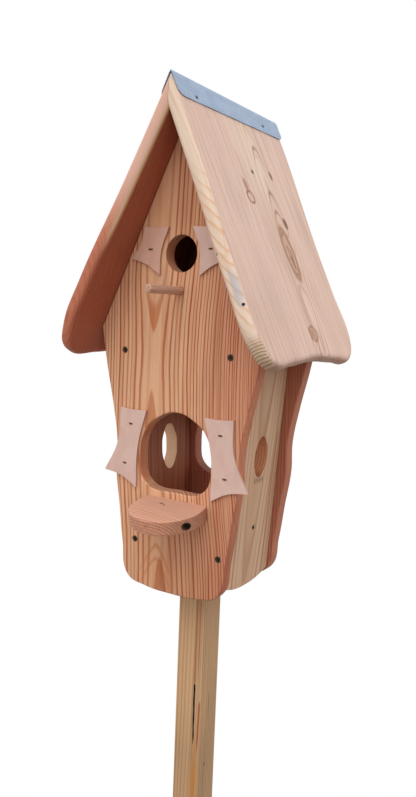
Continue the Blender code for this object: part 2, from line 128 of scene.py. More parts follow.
class Field:
    """A number or colour that varies over a surface: one output of a shader node."""

    def __init__(self, tree, socket):
        self.tree = tree
        self.socket = socket

    def math(self, operation, *others):
        return output_of(self.tree, "Math", dict(enumerate((self, *others))), operation=operation)

    def size(self):
        return self.math("ABSOLUTE")

    def __add__(self, other):
        return self.math("ADD", other)

    def __sub__(self, other):
        return self.math("SUBTRACT", other)

    def __mul__(self, other):
        return self.math("MULTIPLY", other)

    def __truediv__(self, other):
        return self.math("DIVIDE", other)

    def smooth(self, low, high):
        """0 below low and 1 above high, with a soft step between them; low may be over high."""
        inputs = {"Value": self, "From Min": low, "From Max": high}
        return output_of(self.tree, "MapRange", inputs, interpolation_type="SMOOTHSTEP")

    def hump(self, centre, width):
        """1 at centre, falling off like a bell of that half-width."""
        away = (self - centre) / width
        return (away * away * -1).math("EXPONENT")

    def curve(self, points):
        """A smooth curve through a few (input, output) points."""
        inputs, outputs = zip(*points)
        low, span = min(inputs), max(inputs) - min(inputs)
        base, rise = min(outputs), (max(outputs) - min(outputs)) or 1
        node = self.tree.nodes.new("ShaderNodeFloatCurve")
        line = node.mapping.curves[0]
        for number, (place, height) in enumerate(sorted(points)):
            at = ((place - low) / span, (height - base) / rise)
            if number < 2:
                line.points[number].location = at
            else:
                line.points.new(*at)
        node.mapping.update()
        feed(self.tree, node.inputs["Value"], (self - low) / span)
        return Field(self.tree, node.outputs["Value"]) * rise + base


def feed(tree, slot, source):
    """Links a field to a slot, or sets a plain number or colour on it."""
    if isinstance(source, Field):
        tree.links.new(source.socket, slot)
    elif hasattr(source, "__len__") and slot.type == "RGBA":
        slot.default_value = (*source, 1)
    else:
        slot.default_value = source


def output_of(tree, kind, inputs, output=0, **settings):
    """One output of a new shader node, with its inputs fed by name or number."""
    node = tree.nodes.new("ShaderNode" + kind)
    for name, value in settings.items():
        setattr(node, name, value)
    for slot, source in inputs.items():
        feed(tree, node.inputs[slot], source)
    return Field(tree, node.outputs[output])


def mix(tree, amount, first, second, blend="MIX"):
    inputs = {0: amount, 6: first, 7: second}
    return output_of(tree, "Mix", inputs, 2, data_type="RGBA", blend_type=blend)


def noise(tree, x, y, z, detail=2):
    """Noise about 0.5, at a scale of one unit of the given coordinates."""
    point = output_of(tree, "CombineXYZ", {0: x, 1: y, 2: z})
    return output_of(tree, "TexNoise", {"Vector": point, "Scale": 1, "Detail": detail}, "Fac")


def dot(tree, vector, direction, offset=0):
    inputs = {0: vector, 1: direction}
    return output_of(tree, "VectorMath", inputs, "Value", operation="DOT_PRODUCT") - offset


class Surface:
    """A new material, painted by where a point lies: millimetres from the house datum."""

    def __init__(self, name, colour, roughness, specular=0.25, metallic=0):
        self.material = bpy.data.materials.new(name)
        self.material.use_nodes = True
        tree = self.tree = self.material.node_tree
        self.colour = colour
        self.put("Roughness", roughness)
        self.put("Specular IOR Level", specular)
        self.put("Metallic", metallic)
        place = output_of(tree, "TexCoord", {}, "Object")
        inputs = {0: place, 1: (1000, 1000, 1000), 2: HOUSE.translation * -1000}
        self.point = output_of(tree, "VectorMath", inputs, operation="MULTIPLY_ADD")
        self.normal = output_of(tree, "NewGeometry", {}, "True Normal")

    def put(self, slot, source):
        feed(self.tree, self.tree.nodes["Principled BSDF"].inputs[slot], source)

    def measure(self, direction, offset=0):
        return dot(self.tree, self.point, direction, offset)

    def cloud(self, width, depth, height, detail=2):
        """Noise whose patches have these sizes across, into and up the house."""
        x, y, z = (self.measure(axis) for axis in (RIGHT, INTO, UP))
        return noise(self.tree, x / width, y / depth, z / height, detail)

    def tint(self, colour, amount):
        self.colour = mix(self.tree, amount, self.colour, colour)

    def wash(self, colour, amount):
        """Multiplies the colour, so that the figure stays visible."""
        self.colour = mix(self.tree, amount, self.colour, colour, "MULTIPLY")

    def bumped(self, height, strength, distance):
        """Finishes the material with its colour and a bump height."""
        self.put("Base Color", self.colour)
        inputs = {"Strength": strength, "Distance": distance, "Height": height}
        self.put("Normal", output_of(self.tree, "Bump", inputs))
        return self.material


# Timber


def place(origin, along, across):
    """Where a board lies: millimetres and directions from the house datum."""
    along = Vector(along).normalized()
    across = Vector(across).normalized()
    return Vector(origin), along, across, along.cross(across)


class Timber(Surface):
    """One board's wood: yearly rings about a pith that lies behind the board's face.

    centre and pith are numbers, or lists of (along, value) where the tree's heart wanders.
    Each knot is (along, across, length, width), and pushes the rings aside.
    """

    def __init__(
        self, name, lie, early, late, centre=0, pith=40, spacing=6, tighten=120, wander=5,
        contrast=0.85, seed=0, knots=(), rise=(0.5, 0.86), edge_figure=1,
    ):
        super().__init__(name, early, TIMBER_ROUGHNESS)
        origin, *axes = lie
        self.along, self.across, self.deep = (self.measure(axis, origin.dot(axis)) for axis in axes)
        facing = (dot(self.tree, self.normal, axis) for axis in axes)
        self.to_along, self.to_across, self.to_deep = facing
        self.seed = seed
        self.under = self.deep.size()
        if isinstance(centre, list):
            centre = self.along.curve(centre)
        if isinstance(pith, list):
            pith = self.along.curve(pith)
        sway = self.grain(170, 60, 1) - 0.5
        shiver = self.grain(40, 14, 2) - 0.5
        offset = self.across - centre + sway * wander + shiver * (wander * 0.22)
        depth = self.deep + pith
        distance = (offset * offset + depth * depth).math("SQRT")
        for knot_along, knot_across, length, width in knots:
            distance = distance + self.near(knot_along, knot_across, length, width) * width * 0.8
        rings = (distance + distance * distance / (2 * tighten)) / spacing
        uneven = noise(self.tree, rings * 0.37, seed, self.along / 700, 1) - 0.5
        away = offset.size().smooth(16, 40)
        rings = rings + uneven * away * 2.2
        share = rings.math("FRACT")
        rank = rings.math("FLOOR")
        strong = noise(self.tree, rank * 7.31, seed + 3.7, self.along / 500, 0)
        strong = strong.smooth(0.25, 0.75) * 0.45 + 0.55
        self.late = share.smooth(rise[0], rise[1]) * share.smooth(1, 0.95) * strong
        self.narrow = self.to_across.size().smooth(0.5, 0.9)
        self.late = self.late * (self.narrow * (edge_figure - 1) + 1)
        self.fibre = self.grain(26, 0.8, 5, detail=3)
        streak = self.grain(150, 3.2, 6)
        blotch = self.grain(120, 34, 7)
        self.tint(late, self.late * contrast)
        self.shade(0.9, streak.smooth(0.42, 0.72) * 0.6)
        self.shade(0.9, blotch.smooth(0.4, 0.75))
        self.shade(0.84, self.fibre.smooth(0.5, 0.8) * 0.55)
        end = self.to_along.size().smooth(0.55, 0.95)
        self.shade(0.74, end)
        self.tint(late, self.late * end * 0.5)
        self.height = self.late * 0.5 + self.fibre * 0.55

    def grain(self, length, width, seed, detail=2):
        """Noise drawn out along the grain: its lengths are in millimetres."""
        return noise(
            self.tree, self.along / length, self.across / width + (self.seed * 3.1 + seed * 17.7),
            self.deep / width, detail,
        )

    def near(self, along, across, length, width):
        """1 at a point of the board, falling to nothing about a length and a width away."""
        rise = (self.along - along) / length
        side = (self.across - across) / width
        return ((rise * rise + side * side) * -1).math("EXPONENT")

    def shade(self, factor, amount):
        self.wash((factor, factor, factor), amount)

    def spot(self, along, across, length, width, colour, strength=1, hard=0.35):
        """A stain with a fairly sharp edge at its length and width."""
        near = self.near(along, across, length, width)
        edge = noise(self.tree, self.along / 9, self.across / 3, self.seed, 2) - 0.5
        amount = (near + edge * 0.35).smooth(hard - 0.18, hard + 0.18)
        self.tint(colour, amount * strength)

    def knot(self, along, across, length, width, heart, rim, rings=2, strength=0.8):
        """A knot: a brown heart with rings of its own in a darker rim."""
        self.spot(along, across, length, width, heart, strength * 0.7)
        ragged = (self.grain(length * 0.5, width * 0.35, 11) - 0.5) * 0.55
        near = self.near(along, across, length, width) * (ragged + 1)
        round_rings = (near * (tau * rings)).math("SINE")
        self.tint(rim, round_rings.smooth(0.2, 1) * near.smooth(0.12, 0.4) * strength)
        self.tint(rim, near.hump(0.36, 0.1) * strength)
        self.height = self.height - near.hump(0.36, 0.08) * 0.5

    def line(self, across, width, start, end, colour, strength=0.8):
        """A dark line along the grain; across is a number or a field."""
        amount = (self.across - across).hump(0, width)
        amount = amount * self.along.smooth(start - 12, start + 12) * self.along.smooth(end + 12, end - 12)
        self.tint(colour, amount * strength)

    def screw_hole_shade(self, places, colour=(0.055, 0.045, 0.025)):
        """Painted shade in the countersunk screw holes: dark, slightly green rims round the screws."""
        for level in places.values():
            for side, (x, height) in level.items():
                self.spot(height * 1000, side * x * 1000, 4.4, 4.2, colour, 0.55, hard=0.4)

    def finish(self, strength=0.45):
        self.put("Roughness", (self.late * -0.08) + (self.fibre * 0.12 + TIMBER_ROUGHNESS))
        return self.bumped(self.height, strength, 0.0006)


LARCH_EARLY = (0.76, 0.43, 0.255)
LARCH_LATE = (0.4, 0.105, 0.038)


def slope(side):
    """The direction up a roof board."""
    return (-side * sin(ROOF_LEAN), 0, cos(ROOF_LEAN))


def front_wood():
    """Reddish heartwood, flat-sawn: the rings close in a V below the entrance and open again."""
    wood = Timber(
        "larch_front", place((0, 0, 0), UP, RIGHT), LARCH_EARLY, LARCH_LATE,
        centre=[(-420, -15), (-365, -18), (-290, -27), (-190, -36), (-97, -37), (0, -34), (160, -28)],
        pith=[(-410, 28.3), (-365, 29.9), (-290, 32), (-215, 33.4), (-190, 34.3), (-160, 35),
        (-130, 35.7), (-97, 35), (-65, 33.5), (-40, 31.8), (0, 30.6), (160, 30.3)], spacing=6.761,
        tighten=110, contrast=1, seed=1, rise=(0.55, 0.8), edge_figure=0.25,
    )
    wood.tint((0.57, 0.185, 0.055), wood.near(-80, -37, 54, 18) * wood.late)
    wood.tint((0.58, 0.22, 0.085), wood.near(-205, -36, 45, 13) * wood.late * 0.7)
    wood.tint((0.6, 0.24, 0.1), wood.near(-402, -19, 26, 9) * 0.6)
    aside = wood.across + 23
    for apex, width in ((-351, 3.4), (-368, 2.6)):
        arch = wood.along - apex + (aside * aside + 16).math("SQRT") * 1.75
        wood.tint((0.56, 0.2, 0.075), arch.hump(0, width) * aside.hump(0, 24) * 0.65)
    wood.wash((0.88, 0.72, 0.72), wood.across.smooth(5, 80) * 0.9)
    wood.tint((0.72, 0.42, 0.25), wood.near(75, -32, 110, 20) * 0.55)
    wood.wash((0.8, 0.66, 0.6), wood.near(45, 2, 70, 7) * 0.7)
    wood.wash((0.9, 0.76, 0.68), wood.grain(240, 9, 15).smooth(0.46, 0.62) * 0.8)
    wood.wash((0.82, 0.74, 0.7), wood.along.smooth(-300, -390) * wood.across.smooth(-40, 10))
    # Painted shade: the top of the board, under the roof's overhang, darker.
    wood.wash((0.92, 0.84, 0.8), wood.along.smooth(0, 60))
    wood.wash((0.8, 0.62, 0.56), wood.narrow)
    # Painted shade in the screw holes.
    wood.screw_hole_shade(GABLE_SCREWS)
    return wood.finish()


def back_wood():
    wood = Timber(
        "larch_back", place((0, 128, 0), UP, RIGHT), (0.46, 0.17, 0.1), (0.3, 0.075, 0.04),
        centre=[(-420, 30), (-200, 22), (0, 10), (160, 14)],
        pith=[(-420, 40), (-250, 34), (-120, 30), (20, 33), (160, 22)], tighten=100, seed=7,
        edge_figure=0.25,
    )
    # Painted shade inside the house: the board darker and redder at its inner side.
    wood.wash((0.72, 0.5, 0.46), wood.to_deep.smooth(0.5, 0.9) * wood.deep.smooth(9, 0))
    # Painted shade in the screw holes.
    wood.screw_hole_shade(GABLE_SCREWS)
    return wood.finish()


def roof_place(side):
    return place((0, 0, RIDGE_TOP * 1000), slope(side), INTO)


def right_roof_wood():
    """Pale pinkish board with a row of knots down its middle."""
    early = (0.8, 0.585, 0.49)
    late = (0.49, 0.262, 0.17)
    wood = Timber(
        "pale_roof", roof_place(1), early, late, centre=[(-360, 96), (-210, 106), (-110, 113), (0, 112)],
        pith=[(-360, 30), (-250, 24), (-180, 18), (-155, 21), (-125, 25), (-100, 26), (-62, 30), (0, 34)],
        spacing=4, tighten=170, wander=4, seed=2,
        knots=[(-210, 105, 45, 16), (-141, 52, 14, 8), (-316, 85, 14, 9)],
    )
    wood.tint((0.79, 0.63, 0.49), wood.near(-85, 98, 75, 30) * 0.7)
    wood.wash((0.89, 0.84, 0.82), wood.grain(260, 3.2, 21).smooth(0.46, 0.64))
    wood.tint((0.62, 0.4, 0.28), wood.near(-205, 105, 50, 22) * 0.7)
    wood.knot(-210, 105, 34, 12.5, (0.5, 0.29, 0.18), (0.3, 0.14, 0.08), rings=2.4, strength=0.7)
    wood.spot(-222, 106, 9, 3, (0.26, 0.12, 0.07), 0.7)
    wood.knot(-141, 53, 7.5, 7.5, (0.6, 0.42, 0.31), (0.28, 0.13, 0.08), rings=1, strength=1)
    wood.knot(-316, 85, 9, 9.5, (0.42, 0.235, 0.15), (0.36, 0.19, 0.12), rings=1, strength=0.7)
    wood.spot(-126, 51, 10, 4, (0.34, 0.17, 0.11), 0.75)
    wood.spot(-102, 84, 3, 2.6, (0.05, 0.028, 0.02), 0.95)
    wood.wash((0.72, 0.58, 0.5), wood.near(-295, 87, 60, 7) * 0.5)
    wood.wash((0.8, 0.7, 0.62), wood.to_along.smooth(-0.3, -0.8))
    wood.spot(-98, 136, 6, 3.2, (0.16, 0.075, 0.05), 0.85)
    wood.spot(-167, 125, 7.5, 5, (0.16, 0.07, 0.05), 0.85)
    wood.line(58, 1.6, -136, -80, (0.36, 0.2, 0.13), 0.5)
    wood.line(135, 1.4, -100, -35, (0.36, 0.2, 0.13), 0.5)
    for apex, heart, width in ((-62, 116, 2.2), (-125, 114, 2), (-152, 111, 2)):
        reach = (wood.across - heart) / 15
        arch = wood.along - apex + reach * reach * 32
        amount = arch.hump(0, width * 1.6) * (wood.across - heart).hump(0, 19)
        wood.tint((0.36, 0.17, 0.1), amount * 0.85)
    return wood.finish(0.35)


def right_edge_wood():
    """The right roof board's front edge: creamy sapwood crossed by slanting orange rings."""
    lie = place((0, 0, RIDGE_TOP * 1000), slope(1), (-cos(ROOF_LEAN), 0, -sin(ROOF_LEAN)))
    wood = Timber(
        "pale_roof_edge", lie, (0.8, 0.62, 0.49), (0.66, 0.37, 0.2),
        centre=[(-350, 55), (-290, 34), (-230, 20), (-150, 2), (-60, -10), (0, -14)],
        pith=[(-350, 10), (-240, 26), (-150, 40), (0, 44)], spacing=4.6, tighten=300, wander=2,
        contrast=0.35, seed=4,
    )
    sway = (wood.grain(60, 20, 8) - 0.5) * 22
    slant = ((wood.along - wood.across * 2 + sway) / 18).math("FRACT")
    band = slant.smooth(0.5, 0.85) * slant.smooth(1, 0.93)
    middle = wood.along.smooth(-90, -170) * wood.along.smooth(-320, -295)
    wood.tint((0.68, 0.36, 0.17), band * middle * 0.6)
    cross = ((wood.along + sway * 0.2) / 3.4).math("FRACT")
    cross = cross.smooth(0.55, 0.75) * cross.smooth(1, 0.92)
    low = wood.along.smooth(-312, -330)
    wood.tint((0.52, 0.36, 0.2), low * 0.5)
    wood.tint((0.2, 0.105, 0.05), cross * low * 0.7)
    stain = wood.near(-262, 5, 28, 6)
    ragged = wood.grain(14, 4, 9)
    wood.tint((0.4, 0.42, 0.47), (stain + ragged * 0.7).smooth(0.7, 1.15) * 0.6)
    wood.spot(-281, 3, 1.9, 1.6, (0.02, 0.02, 0.025), 1)
    wood.spot(-218, 14.5, 1.7, 1.5, (0.2, 0.26, 0.12), 0.9)
    return wood.finish(0.35)


def left_roof_wood():
    """Red heartwood with a narrow pale strip of sapwood along its front edge near the ridge."""
    wood = Timber(
        "red_roof", roof_place(-1), (0.56, 0.225, 0.135), (0.36, 0.085, 0.045),
        centre=[(-360, 150), (-180, 120), (0, 90)], pith=[(-360, 40), (-200, 52), (0, 46)], spacing=6.5,
        tighten=150, wander=4, contrast=0.7, seed=5, edge_figure=0.5,
    )
    front = wood.to_across.smooth(-0.35, -0.7)
    wood.tint((0.74, 0.46, 0.36), front * wood.along.smooth(-215, -100) * 0.85)
    wood.wash((0.92, 0.76, 0.7), front * wood.along.smooth(-120, -230))
    inner = wood.to_across.smooth(-0.15, -0.35) * wood.to_across.smooth(-0.95, -0.75)
    inner = inner * wood.under.smooth(9, 12)
    wood.tint((0.72, 0.52, 0.32), inner * wood.along.smooth(-225, -170) * 0.9)
    # Painted shade: the underside of the board, over the house, darker and redder.
    wood.wash((0.74, 0.55, 0.48), wood.to_deep.size().smooth(0.6, 0.9) * wood.under.smooth(9, 14))
    return wood.finish()


def side_wood(side):
    """Pale sapwood with straight narrow stripes, and a red line near the back edge."""
    up = (side * sin(SIDE_LEAN), 0, cos(SIDE_LEAN))
    wood = Timber(
        "sapwood_" + ("right" if side > 0 else "left"),
        place((side * SIDE_FACE * 1000, 0, 0), up, INTO), (0.66, 0.44, 0.29), (0.42, 0.19, 0.1),
        centre=[(-410, 66), (-250, 74), (0, 84)], pith=[(-410, 70), (0, 60)], spacing=4.6, tighten=300,
        wander=3, seed=11 + side,
    )
    wood.tint((0.5, 0.285, 0.165), wood.across.hump(68, 15) * 0.6)
    wood.tint((0.56, 0.35, 0.22), wood.across.smooth(85, 125) * 0.5)
    red = wood.along.curve([(-400, 112), (-300, 114), (-200, 119), (0, 124)])
    wood.line(red, 1.7, -420, -215, (0.26, 0.07, 0.04), 0.7)
    wood.line(red + 8, 2, -420, -150, (0.33, 0.13, 0.07), 0.4)
    wood.spot(-335.5, 78, 3.6, 3.6, (0.24, 0.19, 0.09), 0.6)
    outside = (wood.to_deep * -side).smooth(0.5, 0.9)
    depth, height, _, tall = (length * 1000 for length in SLOTS[side])
    for number in range(6):
        along = height - tall - 3.6 - 1.2 * (number % 2)
        near = wood.near(along, depth + 4.2 * (number - 2.6), 4.2, 1.2)
        wood.tint((0.17, 0.085, 0.04), near.smooth(0.25, 0.6) * outside * 0.85)
    # Painted shade: the inner face, inside the house, darker and redder.
    inside = (wood.to_deep * side).smooth(0.5, 0.9)
    wood.wash((0.66, 0.38, 0.3), inside)
    # Painted shade on the right slot's walls, painted light on the left slot's walls.
    in_slot = wood.near(height, depth, 34, 22).smooth(0.3, 0.36) * wood.to_deep.size().smooth(0.9, 0.6)
    if side > 0:
        wood.wash((1, 0.68, 0.54), in_slot)
    else:
        wood.tint((0.84, 0.58, 0.39), in_slot * 0.8)
    return wood.finish()


def landing_wood():
    """Bright pinkish board, its grain across the house."""
    tilt = sin(LANDING_TILT)
    wood = Timber(
        "landing_larch", place((0, 0, LANDING_TOP * 1000), (1, -0.25, 0.03), (0.25, 1, tilt)),
        (0.68, 0.38, 0.26), (0.46, 0.165, 0.095), centre=[(-50, -80), (50, -74)], pith=34, spacing=4.2,
        tighten=90, wander=6, contrast=0.8, seed=3,
    )
    # Painted shade in the screw bores: near-black round each landing screw.
    for start, direction in LANDING_SCREWS:
        level = wood.measure(UP, start[2] * 1000)
        square = Vector((direction[1], -direction[0], 0)).normalized()
        beside = wood.measure(square, square.dot(Vector(start) * 1000))
        away = (beside * beside + level * level).math("SQRT")
        wood.tint((0.04, 0.022, 0.014), away.smooth(5.4, 4.2) * 0.95)
    rim = wood.to_deep.size().smooth(0.8, 0.5)
    pits = wood.grain(9, 1.2, 13, 3).smooth(0.52, 0.66)
    wood.tint((0.24, 0.1, 0.05), rim * pits * 0.55)
    wood.wash((0.94, 0.82, 0.76), rim)
    wood.spot(-2, -17, 3, 1.6, (0.16, 0.07, 0.04), 0.85)
    wood.spot(4, -18.5, 1.6, 1.4, (0.16, 0.07, 0.04), 0.85)
    return wood.finish()


def pole_wood():
    """Brown square pole with a resin-stained shake on its front face."""
    front = (MID_DEPTH - 0.0185) * 1000
    wood = Timber(
        "pole_spruce", place((0, front, 0), UP, RIGHT), (0.62, 0.385, 0.21), (0.4, 0.185, 0.08),
        centre=[(-1300, -60), (-700, -52), (-300, -44)], pith=[(-1300, 60), (-700, 56), (-300, 62)],
        spacing=3.8, tighten=300, wander=3, contrast=0.75, seed=9,
    )
    on_front = wood.to_deep.size().smooth(0.5, 0.8)
    crack = wood.along.curve([(-705, 11), (-640, 8.8), (-555, 8.6), (-440, 9)])
    near = (wood.across - crack).hump(0, 1.3)
    upper = wood.along.smooth(-562, -545)
    wood.tint((0.34, 0.12, 0.05), near * upper * on_front * 0.95)
    wood.wash((0.72, 0.56, 0.46), wood.across.hump(13.5, 1.5) * wood.along.smooth(-560, -500) * on_front)
    wood.tint((0.56, 0.235, 0.055), wood.near(-690, 11.5, 52, 4.4) * on_front)
    resin = (wood.across - wood.along.curve([(-640, 15.5), (-565, 17.6)])).hump(0, 1.3)
    resin = resin * wood.along.smooth(-572, -580) * wood.along.smooth(-655, -625)
    wood.tint((0.36, 0.075, 0.03), resin * on_front)
    wood.tint((0.06, 0.035, 0.025), wood.near(-595, 7.6, 50, 1.7) * on_front * 0.45)
    # Painted shade inside the shake: its walls near-black.
    in_shake = wood.near(-595, 9.2, 60, 3.2).smooth(0.3, 0.4) * on_front.smooth(0.98, 0.9)
    wood.tint((0.012, 0.008, 0.006), in_shake)
    right = wood.to_across.smooth(0.5, 0.9)
    check = wood.deep.hump(17, 0.8) * wood.along.smooth(-566, -574) * wood.along.smooth(-606, -596)
    wood.tint((0.16, 0.115, 0.085), check * right * 0.8)
    wood.tint((0.08, 0.05, 0.03), (wood.along + 668).hump(0, 1.6) * wood.deep.hump(12, 1.6) * right)
    # Painted shade: the right face darker.
    wood.shade(0.86, right)
    wood.shade(0.85, wood.along.smooth(-560, -670))
    return wood.finish()


def floor_wood():
    lie = place((0, 0, 0), RIGHT, INTO)
    return Timber("floor_larch", lie, LARCH_EARLY, LARCH_LATE, centre=60, pith=45, seed=21).finish()


def plate_wood():
    """Thin pinkish plate with hardly any figure: fine short pores along its length."""
    plate = Surface("plate", (0.7, 0.485, 0.42), 0.7)
    pores = plate.cloud(0.7, 0.7, 5, 3)
    plate.tint((0.655, 0.435, 0.365), plate.cloud(16, 16, 26).smooth(0.35, 0.7))
    plate.tint((0.56, 0.335, 0.26), pores.smooth(0.55, 0.75) * 0.35)
    # Painted shade: the left nest shutter, in the roof's shadow, darker and redder.
    painted_roof_shade = plate.measure(UP).smooth(-60, -20) * plate.measure(RIGHT).smooth(20, -30)
    plate.wash((0.94, 0.8, 0.7), painted_roof_shade)
    rim = dot(plate.tree, plate.normal, INTO).size().smooth(0.75, 0.3)
    plate.tint((0.47, 0.26, 0.18), rim * 0.7)
    return plate.bumped(pores, 0.3, 0.0003)


def dowel_wood():
    """Beech dowel, its grain along the perch."""
    dowel = Surface("dowel", (0.6, 0.37, 0.265), 0.6)
    pores = dowel.cloud(0.8, 9, 0.8, 3)
    dowel.tint((0.44, 0.23, 0.15), dowel.cloud(2.6, 60, 2.6).smooth(0.4, 0.65))
    dowel.tint((0.33, 0.155, 0.1), pores.smooth(0.5, 0.7) * 0.5)
    return dowel.bumped(pores, 0.3, 0.0003)


def zinc():
    """Weathered sheet: a soft blue-grey bloom with faint runs down the fall of the roof."""
    sheet = Surface("zinc_sheet", (0.31, 0.4, 0.54), 0.5, 0.4, 0.35)
    bloom = sheet.cloud(14, 22, 14, 3)
    sheet.tint((0.38, 0.47, 0.61), bloom.smooth(0.35, 0.7))
    sheet.tint((0.27, 0.35, 0.47), sheet.cloud(30, 2.2, 30).smooth(0.5, 0.75) * 0.35)
    sheet.put("Roughness", bloom * 0.25 + 0.4)
    return sheet.bumped(bloom, 0.25, 0.0006)


def bare_metal(name, dark, light, roughness, metallic, scale):
    """Small dull metal pieces with dirt in patches."""
    metal = Surface(name, dark, roughness, 0.4, metallic)
    dirt = metal.cloud(scale, scale, scale, 3)
    metal.tint(light, dirt.smooth(0.35, 0.65))
    metal.put("Roughness", dirt * 0.3 + (roughness - 0.15))
    return metal.bumped(dirt, 0.3, 0.0002)


POLE_WOOD = pole_wood()
FLOOR_WOOD = floor_wood()
PLATE_WOOD = plate_wood()
BRASS = bare_metal("staple_brass", (0.2, 0.125, 0.04), (0.48, 0.33, 0.12), 0.45, 0.9, 0.8)
STEEL = bare_metal("dark_screw", (0.018, 0.018, 0.012), (0.075, 0.075, 0.05), 0.5, 0.6, 1.5)
NAIL_STEEL = bare_metal("grey_nail", (0.06, 0.065, 0.075), (0.2, 0.22, 0.25), 0.5, 0.7, 1.5)


# Shape tools


def axes_frame(origin, x_axis, y_axis):
    """A matrix whose local X and Y run along two square directions."""
    x_axis = Vector(x_axis).normalized()
    y_axis = Vector(y_axis).normalized()
    turn = Matrix((x_axis, y_axis, x_axis.cross(y_axis))).transposed()
    return Matrix.Translation(origin) @ turn.to_4x4()


def drive_frame(start, direction):
    """A frame whose +Z looks back out of the hole, for a fastener driven along direction."""
    out = -Vector(direction).normalized()
    turn = out.to_track_quat("Z", "Y").to_matrix().to_4x4()
    return Matrix.Translation(start) @ turn


def mirrored(half):
    """A closed outline from its right half, listed from the top to the bottom, both on x = 0."""
    left = [(-x, y, kind) for x, y, kind in reversed(half) if x > 0]
    return half + left


def working_object(name, mesh, local):
    obj = bpy.data.objects.new(name, mesh)
    WORKSHOP.objects.link(obj)
    obj.matrix_world = HOUSE @ local
    return obj


def evaluated_mesh(obj):
    bpy.context.view_layer.update()
    graph = bpy.context.evaluated_depsgraph_get()
    return bpy.data.meshes.new_from_object(obj.evaluated_get(graph))


def board(name, outlines, thickness, local, rounding, rounds=3, resolution=14):
    """A board with rounded arrises, filled between local z = -thickness and z = 0."""
    curve = bpy.data.curves.new(name, "CURVE")
    curve.dimensions = "2D"
    curve.fill_mode = "BOTH"
    curve.extrude = thickness / 2 - rounding
    curve.bevel_depth = rounding
    curve.bevel_resolution = rounds
    curve.offset = -rounding
    curve.resolution_u = resolution
    for outline in outlines:
        spline = curve.splines.new("BEZIER")
        spline.bezier_points.add(len(outline) - 1)
        spline.use_cyclic_u = True
        for point, (x, y, kind) in zip(spline.bezier_points, outline):
            point.co = (x, y, 0)
            point.handle_left_type = kind
            point.handle_right_type = kind
    guide = bpy.data.objects.new(name + "_guide", curve)
    WORKSHOP.objects.link(guide)
    mesh = evaluated_mesh(guide)
    bpy.data.objects.remove(guide)
    bpy.data.curves.remove(curve)
    work = bmesh.new()
    work.from_mesh(mesh)
    bmesh.ops.remove_doubles(work, verts=work.verts, dist=0.00001)
    bmesh.ops.translate(work, verts=work.verts, vec=(0, 0, -thickness / 2))
    return working_object(name, made(work, name), local)


def made(work, name):
    """The finished bmesh as a mesh, its faces turned outwards."""
    bmesh.ops.recalc_face_normals(work, faces=work.faces)
    mesh = bpy.data.meshes.new(name)
    work.to_mesh(mesh)
    work.free()
    return mesh


def rounded(*points):
    """Outline points without a corner."""
    return [(x, y, SMOOTH) for x, y in points]


def box(name, low, high, local=Matrix()):
    work = bmesh.new()
    bmesh.ops.create_cube(work, size=1)
    bmesh.ops.scale(work, verts=work.verts, vec=Vector(high) - Vector(low))
    bmesh.ops.translate(work, verts=work.verts, vec=(Vector(high) + Vector(low)) / 2)
    return working_object(name, made(work, name), local)


def turned(name, profile, local, sides=32):
    """A turned piece about local Z. The profile runs down its outer side, from axis to axis."""
    mesh = bpy.data.meshes.new(name)
    points = [(radius, 0, height) for radius, height in profile]
    mesh.from_pydata(points, [(i, i + 1) for i in range(len(points) - 1)], [])
    obj = working_object(name, mesh, local)
    turn = obj.modifiers.new("turn", "SCREW")
    turn.steps = sides
    turn.render_steps = sides
    turn.use_merge_vertices = True
    turn.merge_threshold = 0.00001
    return obj


def cut(piece, cutter):
    boolean = piece.modifiers.new("cut_" + cutter.name, "BOOLEAN")
    boolean.operation = "DIFFERENCE"
    boolean.object = cutter


def drill(piece, name, radius, depth, local, sides=32):
    """A plain round hole."""
    profile = [(0, 0.01), (radius, 0.01), (radius, -depth), (0, -depth)]
    cut(piece, turned(name, profile, local, sides))


def settle(obj, material, node, smooth_under=32):
    """Applies all modifiers, puts the mesh in the row frame, and lets it stand for its CAD node."""
    name = obj.name
    obj.name = name + "_rough"
    mesh = evaluated_mesh(obj)
    mesh.transform(obj.matrix_world)
    mesh.name = name
    work = bmesh.new()
    work.from_mesh(mesh)
    bmesh.ops.remove_doubles(work, verts=work.verts, dist=0.000005)
    work.to_mesh(mesh)
    work.free()
    piece = bpy.data.objects.new(name, mesh)
    bpy.context.scene.collection.objects.link(piece)
    bpy.data.objects.remove(obj)
    mesh.materials.clear()
    mesh.materials.append(material)
    mesh.shade_smooth()
    mesh.set_sharp_from_angle(angle=radians(smooth_under))
    if smooth_under < 40:
        even = piece.modifiers.new("even_normals", "WEIGHTED_NORMAL")
        even.keep_sharp = True
    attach(piece, "root")
    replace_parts(piece, node)
    return piece


def dress(node, material):
    """A CAD node that keeps its shape and takes a finer material."""
    mesh = frame["nodes"][node].data
    mesh.materials.clear()
    mesh.materials.append(material)


